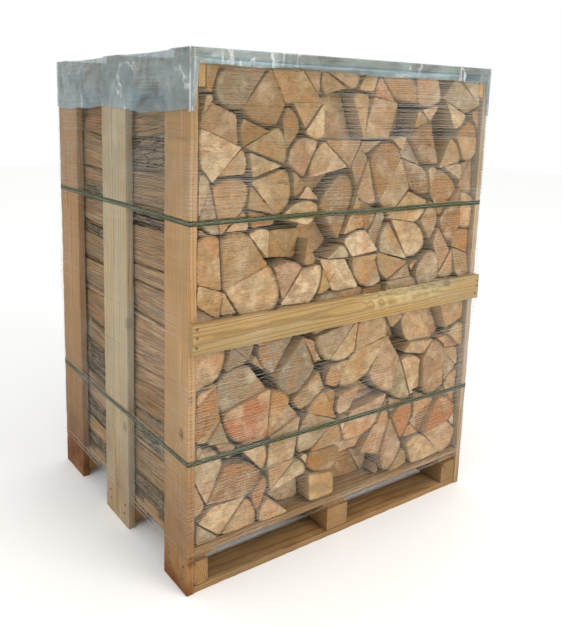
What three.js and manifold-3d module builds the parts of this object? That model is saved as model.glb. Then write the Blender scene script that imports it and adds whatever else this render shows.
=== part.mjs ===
// Palletised firewood: a block pallet with two rows of split logs between side posts,
// tied by two plastic straps, wound with pallet net and covered with a film hood.
// Units are millimetres. +Z is up, the log ends face -Y and +Y, and the origin is on
// the ground under the middle of the crate.

import * as THREE from 'three';
import { mergeVertices } from 'three/addons/utils/BufferGeometryUtils.js';
import Module from 'manifold-3d';

// ---- driving dimensions -------------------------------------------------------------

const CRATE_WIDTH = 1200;        // along X, over the posts
const CRATE_DEPTH = 966;         // along Y, over the posts
const POST_TOP = 1531;           // height of the posts and side rails
const TOUCH_GAP = 0.3;           // space kept between pieces that touch

const BOARD_THICK = 22;          // every sawn board but the posts
const POST_THICK = 25;

const BLOCK_HEIGHT = 78;
const BLOCK_INSET = 3;           // the pallet stands this far behind the posts' edges
const BLOCK_WIDTHS = [48, 90, 74];      // left, middle, right, along X
const MIDDLE_BLOCK_X = -20;             // centre of the middle blocks
const BLOCK_LENGTHS = [138, 180, 166];  // front, middle, back, along Y
const SKID_WIDTH = 100;
const STRINGER_WIDTHS = [75, 100, 75];
const STRINGER_INSET = 14;
const DECK_WIDTHS = [118, 98, 98, 98, 118];

const POST_WIDTHS = [142, 182, 170];    // front, middle, back, along Y
const SIDE_RAIL_HEIGHT = 76;
const TOP_BOARD_WIDTH = 88;
const MID_RAIL_BOTTOM = 738;
const MID_RAIL_HEIGHT = 88;
const BACK_RAIL_SHORT = 13;      // the back rail stops this far inside the posts' outer faces

const LOG_TOP = 1512;
const LOG_END_CLEARANCE = 3;     // longest logs stop this far behind the posts' edges
const LOG_ROW_SEAM = 8;          // between the front and the back row

const STRAP_WIDTH = 15.5;
const STRAP_THICK = 1.0;
const STRAP_HEIGHTS = [404, 1093];

const NET_THICK = 1.0;
const NET_BOTTOM = 112;
const NET_TOP = 1546;
const NET_TENT = 120;            // the net runs from a mid rail to the posts in this height

const FILM_THICK = 1.0;
const HOOD_SKIRT_BOTTOM = 1392;  // at the two sides
const HOOD_FLAP_BOTTOM = 1500;   // at the front and the back
const HOOD_CORNER_RETURN = 28;   // the side skirt folds this far round each corner

// ---- levels and planes worked out from them -----------------------------------------

const halfWidth = CRATE_WIDTH / 2;
const halfDepth = CRATE_DEPTH / 2;
const postInside = halfWidth - POST_THICK;
const palletHalfWidth = postInside - TOUCH_GAP;
const palletHalfDepth = halfDepth - BLOCK_INSET;

const blockBottom = BOARD_THICK + TOUCH_GAP;
const blockTop = BOARD_THICK + BLOCK_HEIGHT;
const stringerBottom = blockTop + TOUCH_GAP;
const stringerTop = blockTop + BOARD_THICK;
const deckBottom = stringerTop + TOUCH_GAP;
const deckTop = stringerTop + BOARD_THICK;
const topBoardBottom = POST_TOP + TOUCH_GAP;
const topBoardTop = POST_TOP + BOARD_THICK;
const midRailFace = halfDepth + TOUCH_GAP + BOARD_THICK;

const strapInside = TOUCH_GAP;
const netInside = strapInside + STRAP_THICK + TOUCH_GAP;
const hoodInside = netInside + NET_THICK + TOUCH_GAP;

// ---- materials ----------------------------------------------------------------------

const finishes = {
  pallet: { color: 0xb08a58, roughness: 0.85 },
  post: { color: 0xc1935c, roughness: 0.8 },
  weatheredPost: { color: 0xa3957a, roughness: 0.85 },
  rail: { color: 0xb8935f, roughness: 0.8 },
  logs: { color: 0xb08860, roughness: 0.9 },
  strap: { color: 0x2f4a34, roughness: 0.35 },
  net: { color: 0xd9dcd6, roughness: 0.5, opacity: 0.3, transparent: true },
  film: { color: 0x8fb3c0, roughness: 0.2, opacity: 0.4, transparent: true },
};

const group = new THREE.Group();

function add(name, finish, geometry) {
  const material = new THREE.MeshStandardMaterial({ metalness: 0, ...finishes[finish] });
  const mesh = new THREE.Mesh(geometry, material);
  mesh.name = name;
  group.add(mesh);
  return mesh;
}

// A board or block between its lowest and highest corners.
function addBox(name, finish, low, high) {
  const size = high.map((value, axis) => value - low[axis]);
  const mesh = add(name, finish, new THREE.BoxGeometry(...size));
  mesh.position.set(...high.map((value, axis) => (value + low[axis]) / 2));
}

// Starts of three pieces that stand at the low end, the middle and the high end of a span.
function spreadThree(half, widths, middle = 0) {
  return [
    [-half, -half + widths[0]],
    [middle - widths[1] / 2, middle + widths[1] / 2],
    [half - widths[2], half],
  ];
}

const depthNames = ['front', 'middle', 'back'];
const sideNames = ['left', 'middle', 'right'];

// ---- pallet -------------------------------------------------------------------------

const skidSpans = spreadThree(palletHalfDepth, [SKID_WIDTH, SKID_WIDTH, SKID_WIDTH]);
const blockRows = spreadThree(palletHalfDepth, BLOCK_LENGTHS);
const blockColumns = spreadThree(palletHalfWidth, BLOCK_WIDTHS, MIDDLE_BLOCK_X);

skidSpans.forEach(([near, far], row) => {
  addBox(`skid_board_${depthNames[row]}`, 'pallet',
    [-palletHalfWidth, near, 0], [palletHalfWidth, far, BOARD_THICK]);
});

blockRows.forEach(([near, far], row) => {
  blockColumns.forEach(([left, right], column) => {
    addBox(`block_${depthNames[row]}_${sideNames[column]}`, 'pallet',
      [left, near, blockBottom], [right, far, blockTop]);
  });
});

const stringerSpans = spreadThree(palletHalfWidth, STRINGER_WIDTHS, MIDDLE_BLOCK_X);
const stringerHalf = palletHalfDepth - STRINGER_INSET;
stringerSpans.forEach(([left, right], column) => {
  addBox(`stringer_${sideNames[column]}`, 'pallet',
    [left, -stringerHalf, stringerBottom], [right, stringerHalf, stringerTop]);
});

const deckTotal = DECK_WIDTHS.reduce((sum, width) => sum + width, 0);
const deckSpace = (2 * palletHalfDepth - deckTotal) / (DECK_WIDTHS.length - 1);
let deckStart = -palletHalfDepth;
DECK_WIDTHS.forEach((width, index) => {
  addBox(`deck_board_${index + 1}`, 'pallet',
    [-palletHalfWidth, deckStart, deckBottom], [palletHalfWidth, deckStart + width, deckTop]);
  deckStart += width + deckSpace;
});

// ---- side frames, top boards and mid rails ------------------------------------------

const postSpans = spreadThree(halfDepth, POST_WIDTHS);
const railInside = postInside - TOUCH_GAP - BOARD_THICK;

for (const [side, sign] of [['left', -1], ['right', 1]]) {
  const across = (inner, outer) => (sign < 0 ? [-outer, -inner] : [inner, outer]);
  const [postLow, postHigh] = across(postInside, halfWidth);
  postSpans.forEach(([near, far], row) => {
    const finish = row === 1 ? 'weatheredPost' : 'post';
    addBox(`post_${side}_${depthNames[row]}`, finish,
      [postLow, near, 0], [postHigh, far, POST_TOP]);
  });
  const [railLow, railHigh] = across(railInside, postInside - TOUCH_GAP);
  addBox(`side_rail_${side}`, 'rail',
    [railLow, -palletHalfDepth, POST_TOP - SIDE_RAIL_HEIGHT],
    [railHigh, palletHalfDepth, POST_TOP]);
}

const topSpans = spreadThree(halfDepth, [TOP_BOARD_WIDTH, TOP_BOARD_WIDTH, TOP_BOARD_WIDTH]);
topSpans.forEach(([near, far], row) => {
  addBox(`top_board_${depthNames[row]}`, 'rail',
    [-halfWidth, near, topBoardBottom], [halfWidth, far, topBoardTop]);
});

const midRailTop = MID_RAIL_BOTTOM + MID_RAIL_HEIGHT;
addBox('mid_rail_front', 'rail',
  [-halfWidth, -midRailFace, MID_RAIL_BOTTOM],
  [halfWidth, -halfDepth - TOUCH_GAP, midRailTop]);
addBox('mid_rail_back', 'rail',
  [-halfWidth + BACK_RAIL_SHORT, halfDepth + TOUCH_GAP, MID_RAIL_BOTTOM],
  [halfWidth - BACK_RAIL_SHORT, midRailFace, midRailTop]);

// ---- firewood -----------------------------------------------------------------------
// Each row is one solid that reaches the tips of its logs. It is as wide as the space
// between the posts, and narrower at the top, between the side rails.

function rowOutline() {
  const wide = postInside - TOUCH_GAP;
  const narrow = railInside - TOUCH_GAP;
  const shoulder = POST_TOP - SIDE_RAIL_HEIGHT - TOUCH_GAP;
  const outline = new THREE.Shape();
  outline.moveTo(-wide, deckTop + TOUCH_GAP);
  outline.lineTo(wide, deckTop + TOUCH_GAP);
  outline.lineTo(wide, shoulder);
  outline.lineTo(narrow, shoulder);
  outline.lineTo(narrow, LOG_TOP);
  outline.lineTo(-narrow, LOG_TOP);
  outline.lineTo(-narrow, shoulder);
  outline.lineTo(-wide, shoulder);
  outline.closePath();
  return outline;
}

const rowDepth = halfDepth - LOG_END_CLEARANCE - LOG_ROW_SEAM / 2;
for (const [name, near] of [
  ['log_row_front', -halfDepth + LOG_END_CLEARANCE],
  ['log_row_back', LOG_ROW_SEAM / 2],
]) {
  const geometry = new THREE.ExtrudeGeometry(rowOutline(), {
    depth: rowDepth,
    bevelEnabled: false,
  });
  geometry.rotateX(Math.PI / 2);
  const mesh = add(name, 'logs', geometry);
  mesh.position.y = near + rowDepth;
}

// ---- joining and cutting ------------------------------------------------------------

const wasm = await Module();
wasm.setup();

function toSolid(geometry) {
  const plain = geometry.clone();
  plain.deleteAttribute('normal');
  plain.deleteAttribute('uv');
  const merged = mergeVertices(plain, 1e-4);
  return new wasm.Manifold(new wasm.Mesh({
    numProp: 3,
    vertProperties: new Float32Array(merged.attributes.position.array),
    triVerts: new Uint32Array(merged.index.array),
  }));
}

function toGeometry(solid) {
  const result = solid.getMesh();
  const geometry = new THREE.BufferGeometry();
  geometry.setAttribute('position', new THREE.BufferAttribute(result.vertProperties, 3));
  geometry.setIndex(new THREE.BufferAttribute(result.triVerts, 1));
  geometry.computeVertexNormals();
  return geometry;
}

function boxSolid(low, high) {
  const size = high.map((value, axis) => value - low[axis]);
  const geometry = new THREE.BoxGeometry(...size);
  geometry.translate(...high.map((value, axis) => (value + low[axis]) / 2));
  return toSolid(geometry);
}

// ---- straps -------------------------------------------------------------------------
// A flat band round the whole crate. It is square inside, where it lies on the posts'
// corners, and bevelled by its own thickness outside.

const past = 10;                 // a cutting solid runs this far past what it cuts

function strapGeometry() {
  const reachX = halfWidth + strapInside;
  const reachY = halfDepth + strapInside;
  const corners = [[1, -1], [1, 1], [-1, 1], [-1, -1]];
  const outline = corners.flatMap(([x, y]) => {
    const onSide = new THREE.Vector2(x * (reachX + STRAP_THICK), y * reachY);
    const onFace = new THREE.Vector2(x * reachX, y * (reachY + STRAP_THICK));
    return x === y ? [onSide, onFace] : [onFace, onSide];
  });
  const slab = new THREE.ExtrudeGeometry(
    new THREE.Shape(outline), { depth: STRAP_WIDTH, bevelEnabled: false });
  const inside = boxSolid([-reachX, -reachY, -past], [reachX, reachY, STRAP_WIDTH + past]);
  return toGeometry(toSolid(slab).subtract(inside));
}

STRAP_HEIGHTS.forEach((height, index) => {
  const mesh = add(`strap_${['lower', 'upper'][index]}`, 'strap', strapGeometry());
  mesh.position.z = height - STRAP_WIDTH / 2;
});

// ---- net ----------------------------------------------------------------------------
// An open-ended sleeve round the four sides. Seen from the side its outline steps out
// over the mid rails, and it runs straight from the rails back to the posts.

function netProfile(offset, bottom, top) {
  const flat = halfDepth + netInside + offset;
  const bulge = midRailFace + TOUCH_GAP + offset;
  const front = [
    [flat, bottom],
    [flat, MID_RAIL_BOTTOM - NET_TENT],
    [bulge, MID_RAIL_BOTTOM],
    [bulge, midRailTop],
    [flat, midRailTop + NET_TENT],
    [flat, top],
  ];
  const outline = new THREE.Shape();
  front.forEach(([reach, height], index) => {
    if (index === 0) {
      outline.moveTo(reach, height);
    } else {
      outline.lineTo(reach, height);
    }
  });
  [...front].reverse().forEach(([reach, height]) => outline.lineTo(-reach, height));
  outline.closePath();
  return outline;
}

// The outline's first axis becomes +Y, its second +Z, and the extrusion runs along X.
function alongX(outline, half) {
  const geometry = new THREE.ExtrudeGeometry(outline, { depth: 2 * half, bevelEnabled: false });
  geometry.translate(0, 0, -half);
  geometry.rotateZ(Math.PI / 2);
  geometry.rotateY(Math.PI / 2);
  return toSolid(geometry);
}

const sleeveHalf = halfWidth + netInside;
const netOuter = alongX(netProfile(NET_THICK, NET_BOTTOM, NET_TOP), sleeveHalf + NET_THICK);
const netInner = alongX(netProfile(0, NET_BOTTOM - past, NET_TOP + past), sleeveHalf);
add('pallet_net', 'net', toGeometry(netOuter.subtract(netInner)));

// ---- film hood ----------------------------------------------------------------------
// An upside-down tray. Its side skirts hang lower than its front and back flaps, and
// fold a little way round the corners.

const hoodX = halfWidth + hoodInside;
const hoodY = halfDepth + hoodInside;
const hoodTop = topBoardTop + TOUCH_GAP + FILM_THICK;
const outerBox = boxSolid(
  [-hoodX - FILM_THICK, -hoodY - FILM_THICK, HOOD_SKIRT_BOTTOM],
  [hoodX + FILM_THICK, hoodY + FILM_THICK, hoodTop]);
const innerBox = boxSolid(
  [-hoodX, -hoodY, HOOD_SKIRT_BOTTOM - past],
  [hoodX, hoodY, hoodTop - FILM_THICK]);
const flapWindow = boxSolid(
  [-halfWidth + HOOD_CORNER_RETURN, -hoodY - past, HOOD_SKIRT_BOTTOM - past],
  [halfWidth - HOOD_CORNER_RETURN, hoodY + past, HOOD_FLAP_BOTTOM]);
add('film_hood', 'film', toGeometry(outerBox.subtract(innerBox).subtract(flapWindow)));

export default group;
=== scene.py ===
# A pallet of split firewood, as it is sold: two rows of logs stand between side posts
# on a block pallet, tied by two plastic straps, wound with net, under a film hood.
# The sections follow the order in which the crate is packed. Units are metres.

import math
import random

import bpy
import numpy as np
from mathutils import Matrix, Vector
from mathutils.geometry import delaunay_2d_cdt


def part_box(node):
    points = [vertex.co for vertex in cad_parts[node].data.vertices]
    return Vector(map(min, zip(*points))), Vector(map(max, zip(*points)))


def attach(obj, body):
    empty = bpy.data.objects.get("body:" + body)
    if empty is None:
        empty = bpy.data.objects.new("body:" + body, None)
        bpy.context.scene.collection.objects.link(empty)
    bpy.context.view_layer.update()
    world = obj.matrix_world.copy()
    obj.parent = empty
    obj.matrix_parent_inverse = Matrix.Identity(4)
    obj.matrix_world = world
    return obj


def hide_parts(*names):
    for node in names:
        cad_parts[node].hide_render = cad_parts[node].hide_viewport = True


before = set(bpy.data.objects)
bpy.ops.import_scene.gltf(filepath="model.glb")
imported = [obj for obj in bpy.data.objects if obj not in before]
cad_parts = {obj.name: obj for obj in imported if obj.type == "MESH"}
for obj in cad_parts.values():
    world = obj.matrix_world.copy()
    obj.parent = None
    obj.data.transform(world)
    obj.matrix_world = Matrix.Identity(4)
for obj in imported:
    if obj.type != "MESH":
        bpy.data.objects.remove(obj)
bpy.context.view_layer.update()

# ---- Nodes, colours and pieces -------------------------------------------------------
# What the sections below share: nodes and their inputs, colours by sRGB hex text, smooth
# randomness, and meshes made of rings of points.


def linear(hex_colour):
    """An sRGB hex colour as linear red, green, blue and alpha."""
    channels = [int(hex_colour[i:i + 2], 16) / 255 for i in (0, 2, 4)]
    return tuple(c / 12.92 if c <= 0.04045 else ((c + 0.055) / 1.055) ** 2.4 for c in channels) + (1.0,)


def node(tree, kind, inputs=None, **settings):
    """Adds a node with these properties and input values or links, and returns its outputs."""
    made = tree.nodes.new(kind)
    for name, value in settings.items():
        setattr(made, name, value)
    for name, value in (inputs or {}).items():
        if isinstance(value, bpy.types.NodeSocket):
            tree.links.new(value, made.inputs[name])
        else:
            made.inputs[name].default_value = value
    return made.outputs


def beside(kind, inputs, **settings):
    """Adds a node to the tree that its input links come from."""
    link = next(v for v in inputs.values() if isinstance(v, bpy.types.NodeSocket))
    return node(link.id_data, kind, inputs, **settings)


def attribute(tree, name, output):
    """A value that is stored on the mesh."""
    return node(tree, "ShaderNodeAttribute", attribute_name=name)[output]


def calc(operation, *values, clamp=False):
    return beside("ShaderNodeMath", dict(enumerate(values)), operation=operation, use_clamp=clamp)[0]


def vector_calc(operation, *values):
    result = "Value" if operation in ("LENGTH", "DOT_PRODUCT") else "Vector"
    return beside("ShaderNodeVectorMath", dict(enumerate(values)), operation=operation)[result]


def scaled(vector, factors):
    return vector_calc("MULTIPLY", vector, factors)


def axes_of(vector):
    return beside("ShaderNodeSeparateXYZ", {0: vector})


def remap(value, from_min, from_max, to_min=0.0, to_max=1.0):
    """Carries a value from one range to another and holds it inside that."""
    return beside("ShaderNodeMapRange", {"Value": value, "From Min": from_min, "From Max": from_max,
                                         "To Min": to_min, "To Max": to_max})[0]


def mix(share, first, second, blend="MIX"):
    """Mixes two colours, each a socket or an sRGB hex text."""
    first, second = (linear(c) if isinstance(c, str) else c for c in (first, second))
    return beside("ShaderNodeMix", {0: share, 6: first, 7: second}, data_type="RGBA", blend_type=blend)[2]


def tinted(colour, tint, value, start, full, most=1.0):
    """Mixes a tint into a colour, more and more as a value runs from start to full."""
    return mix(remap(value, start, full, 0.0, most), colour, tint)


def noise(vector, scale, detail, roughness=0.5, distortion=0.0):
    """Noise at one scale, or at three scales for the three axes."""
    if isinstance(scale, tuple):
        vector, scale = scaled(vector, scale), 1
    return beside("ShaderNodeTexNoise", {"Vector": vector, "Scale": scale, "Detail": detail,
                                         "Roughness": roughness, "Distortion": distortion})


def thin_lines(value, wide, narrow):
    """Lines where noise passes its middle value, this far off at their edge and core."""
    return remap(calc("ABSOLUTE", calc("SUBTRACT", value, 0.5)), wide, narrow)


def growth_rings(place, spacing):
    """A wave from -1 to 1 round the X axis, where the pith is."""
    radius = vector_calc("LENGTH", scaled(place, (0, 1, 1)))
    return calc("SINE", calc("MULTIPLY", radius, 2 * math.pi / spacing))


def bump(height, strength, distance):
    return beside("ShaderNodeBump", {"Height": height, "Strength": strength, "Distance": distance})[0]


def surface(tree, values):
    """Ends a material in one shader with these values or links."""
    shader = node(tree, "ShaderNodeBsdfPrincipled", values)
    node(tree, "ShaderNodeOutputMaterial", {"Surface": shader[0]})


def new_material(name):
    """An empty material, with its node tree."""
    material = bpy.data.materials.new(name)
    material.use_nodes = True
    material.node_tree.nodes.clear()
    return material, material.node_tree


def smooth_random(rng, first, second, frequencies, count=7):
    """A smooth random value from -1 to 1 at each (first, second), from a few waves."""
    total = np.zeros(np.broadcast(first, second).shape)
    for _ in range(count):
        rate_a = rng.uniform(*frequencies[0])
        rate_b = rng.uniform(*frequencies[1]) * rng.choice([-1, 1])
        total = total + np.sin(2 * math.pi * (first * rate_a + second * rate_b + rng.random()))
    return total / count ** 0.5 / 1.5


def add_attribute(mesh, name, values):
    """Stores a value for each vertex: a number, a vector or a colour."""
    values = np.asarray(values, dtype=np.float32)
    kind, key = ("FLOAT", "value") if values.ndim == 1 else ("FLOAT_VECTOR", "vector")
    if values.ndim == 2 and values.shape[1] == 4:
        kind, key = "FLOAT_COLOR", "color"
    mesh.attributes.new(name, kind, "POINT").data.foreach_set(key, values.ravel())


def add_piece(name, mesh, nodes=()):
    """Links a mesh that is already in place, under the root body, and hides the CAD parts that it stands
    for.
    """
    piece = bpy.data.objects.new(name, mesh)
    bpy.context.collection.objects.link(piece)
    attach(piece, "root")
    if nodes:
        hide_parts(*nodes)
    return piece


def new_piece(name, points, faces, materials, nodes, sharp_from=None):
    """Makes a smooth-shaded piece from points and faces, its sharper edges kept sharp."""
    mesh = bpy.data.meshes.new(name)
    mesh.from_pydata([tuple(p) for p in points], [], faces)
    for material in materials:
        mesh.materials.append(material)
    mesh.polygons.foreach_set("use_smooth", [True] * len(mesh.polygons))
    mesh.update()
    if sharp_from:
        mesh.set_sharp_from_angle(angle=math.radians(sharp_from))
    return add_piece(name, mesh, nodes)


def stations_along(length, ends, count):
    """Even stations along a length, with two closer ones at each end."""
    even = np.linspace(ends[1], length - ends[1], count)
    return np.concatenate([[0, ends[0]], even, [length - ends[0], length]])


def strip(lower, upper):
    """Faces between two closed rings of point numbers."""
    count = len(lower)
    return [(lower[i], lower[(i + 1) % count], upper[(i + 1) % count], upper[i]) for i in range(count)]


def tube(rings, count):
    """Faces round a number of rings that follow each other, each of this many points."""
    numbers = [range(j * count, (j + 1) * count) for j in range(rings)]
    return [face for lower, upper in zip(numbers, numbers[1:]) for face in strip(lower, upper)]


def sides(ring):
    """The pairs of neighbours round a ring of corner numbers."""
    return list(zip(ring, ring[1:] + ring[:1]))


# ---- Camera, floor and light ---------------------------------------------------------
# The crate stands on a plain pale floor, seen from eye height, a little to the left of
# its front. The light is one large soft lamp in front, a weaker one at the left and
# an even sky.

EYE = Vector((-1.509, -2.060, 1.403))
HEADING, TILT, LEAN = (math.radians(a) for a in (-34.50, 80.07, 1.19))
LENS_MM = 40.2
SHIFT_ACROSS, SHIFT_UP = 0.059, -0.132

camera = bpy.data.objects.new("camera", bpy.data.cameras.new("camera"))
bpy.context.collection.objects.link(camera)
bpy.context.scene.camera = camera
camera.data.lens = LENS_MM
camera.data.shift_x = SHIFT_ACROSS
camera.data.shift_y = SHIFT_UP
turn = Matrix.Rotation(HEADING, 3, "Z") @ Matrix.Rotation(TILT, 3, "X") @ Matrix.Rotation(LEAN, 3, "Z")
camera.matrix_world = Matrix.Translation(EYE) @ turn.to_4x4()


def add_lamp(name, place, aim, size, watts, colour):
    lamp = bpy.data.objects.new(name, bpy.data.lights.new(name, "AREA"))
    bpy.context.collection.objects.link(lamp)
    lamp.data.size = size
    lamp.data.energy = watts
    lamp.data.color = linear(colour)[:3]
    lamp.location = place
    lamp.rotation_euler = (Vector(aim) - Vector(place)).to_track_quat("-Z", "Y").to_euler()


bpy.context.scene.view_settings.view_transform = "Standard"
world = bpy.data.worlds.new("even sky")
bpy.context.scene.world = world
world.use_nodes = True
sky = world.node_tree.nodes["Background"]
sky.inputs["Color"].default_value = linear("FFFFFF")
sky.inputs["Strength"].default_value = 1.0
add_lamp("front lamp", (1.6, -5.2, 3.8), (0, 0, 0.7), 3.2, 170, "FFF8EE")
add_lamp("left lamp", (-5.0, -1.0, 3.0), (0, 0, 0.8), 2.6, 40, "F4F8FF")

FLOOR_HALF = 14.0
floor_mesh = bpy.data.meshes.new("floor")
floor_mesh.from_pydata(
    [(-FLOOR_HALF, -FLOOR_HALF, 0), (FLOOR_HALF, -FLOOR_HALF, 0),
     (FLOOR_HALF, FLOOR_HALF, 0), (-FLOOR_HALF, FLOOR_HALF, 0)], [], [(0, 1, 2, 3)])
floor = bpy.data.objects.new("floor", floor_mesh)
bpy.context.collection.objects.link(floor)
floor_paint, tree = new_material("matt pale floor paint")
surface(tree, {"Base Color": linear("FBFBFA"), "Roughness": 0.9})
floor_mesh.materials.append(floor_paint)

# ---- Sawn boards of the pallet, the side frames and the rails -------------------------
# Rough-sawn spruce and pine, nailed. The saw leaves fine ridges across each board, the
# arrises are chipped and a little round, and some boards keep a wane where the bark was.

ARRIS_RADIUS = 0.0018
ARRIS_STEPS = 2                  # flat facets round each arris
WIDE_PARTS, NARROW_PARTS = 5, 2  # divisions of a wide face and of an edge
STATION_STEP = 0.022
BOARD_ENDS = (0.0015, 0.012)     # stations beside each end
FACE_INSET, FACE_WAVE = 0.0004, 0.0003
ARRIS_WEAR = 0.0016
END_CHAMFER = 0.0012
LEAST_INSET = 0.00005            # keeps every point inside the CAD box
WANE_FADE = 0.10                 # share of the length in which a wane runs out
SOFTWOOD_RING = 0.007            # real rings are 2 to 4 mm apart; these have to show


def sawn_softwood(name, light, dark, knot, grey, greying, splash=0.75):
    """Spruce from the saw: growth rings, fibres, knots, saw ridges and greyed patches."""
    material, tree = new_material(name)
    grain = attribute(tree, "grain", "Vector")
    # Fibres run along the board. A real one is far under 1 mm; these are 3 to 6 mm wide.
    fibre = noise(grain, (4, 170, 170), 5, 0.65)
    broad = noise(grain, (2.2, 16, 16), 3)
    # Growth rings are cylinders round the pith, which wanders.
    wander = scaled(broad["Color"], (0.0, 0.02, 0.02))
    bent = vector_calc("ADD", grain, wander)
    ring_band = remap(growth_rings(bent, SOFTWOOD_RING), -0.2, 1.0, 0.0, 0.55)
    wood = tinted(light, dark, calc("ADD", ring_band, fibre["Fac"]), 0.35, 1.1)
    # Knots are 15 to 25 mm across, two or three to a board.
    knot_way = scaled(bent, (8, 13, 13))
    cells = node(tree, "ShaderNodeTexVoronoi", {"Vector": knot_way, "Scale": 1})
    chosen = node(tree, "ShaderNodeSeparateColor", {0: cells["Color"]})[0]
    is_knot = calc("GREATER_THAN", chosen, 0.8)
    inside = remap(cells["Distance"], 0.2, 0.11)
    knotted = mix(calc("MULTIPLY", is_knot, inside), wood, knot)
    # Rain and sun grey the wood in patches that follow the grain.
    greyed = tinted(knotted, grey, broad["Fac"], 0.4, 0.68, greying)
    # Splashed earth darkens and reddens the foot of the crate, less and less up to 0.5 m.
    place = node(tree, "ShaderNodeTexCoord")["Object"]
    low_part = remap(axes_of(place)["Z"], 0.55, 0.0, 0.0, splash)
    blotch = noise(place, 9, 4)
    dirty = mix(calc("MULTIPLY", low_part, blotch["Fac"]), greyed, "6C3D14")
    shade = mix(1.0, dirty, attribute(tree, "tone", "Color"), blend="MULTIPLY")
    # The frame saw's strokes are about 3 mm apart; they are drawn 6 mm apart.
    stroke = noise(grain, (165, 9, 9), 2)
    ridges = bump(calc("ADD", fibre["Fac"], stroke["Fac"]), 0.55, 0.0012)
    gloss = remap(fibre["Fac"], 0.0, 1.0, 0.68, 0.9)
    surface(tree, {"Base Color": shade, "Roughness": gloss, "Normal": ridges, "IOR": 1.45,
                   "Specular IOR Level": 0.3})
    return material


def board_section(width, thick):
    """Points round a board's section, their inward directions, and which are on an arris."""
    points, inward, arris = [], [], []
    for corner, (side_w, side_t) in enumerate([(1, -1), (1, 1), (-1, 1), (-1, -1)]):
        centre = (side_w * (width / 2 - ARRIS_RADIUS), side_t * (thick / 2 - ARRIS_RADIUS))
        start = math.pi / 2 * (corner - 1)
        for step in range(ARRIS_STEPS + 1):
            angle = start + step * math.pi / 2 / ARRIS_STEPS
            out = (math.cos(angle), math.sin(angle))
            points.append((centre[0] + ARRIS_RADIUS * out[0], centre[1] + ARRIS_RADIUS * out[1]))
            inward.append((-out[0], -out[1]))
            arris.append(corner)
        flat = (math.cos(start + math.pi / 2), math.sin(start + math.pi / 2))
        on_wide_side = corner % 2 == 1
        parts = WIDE_PARTS if on_wide_side else NARROW_PARTS
        span = (width if on_wide_side else thick) - 2 * ARRIS_RADIUS
        from_x, from_y = points[-1]
        for step in range(1, parts):
            run = span * step / parts
            points.append((from_x - flat[1] * run, from_y + flat[0] * run))
            inward.append((-flat[0], -flat[1]))
            arris.append(-1)
    return np.array(points), np.array(inward), np.array(arris)


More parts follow.
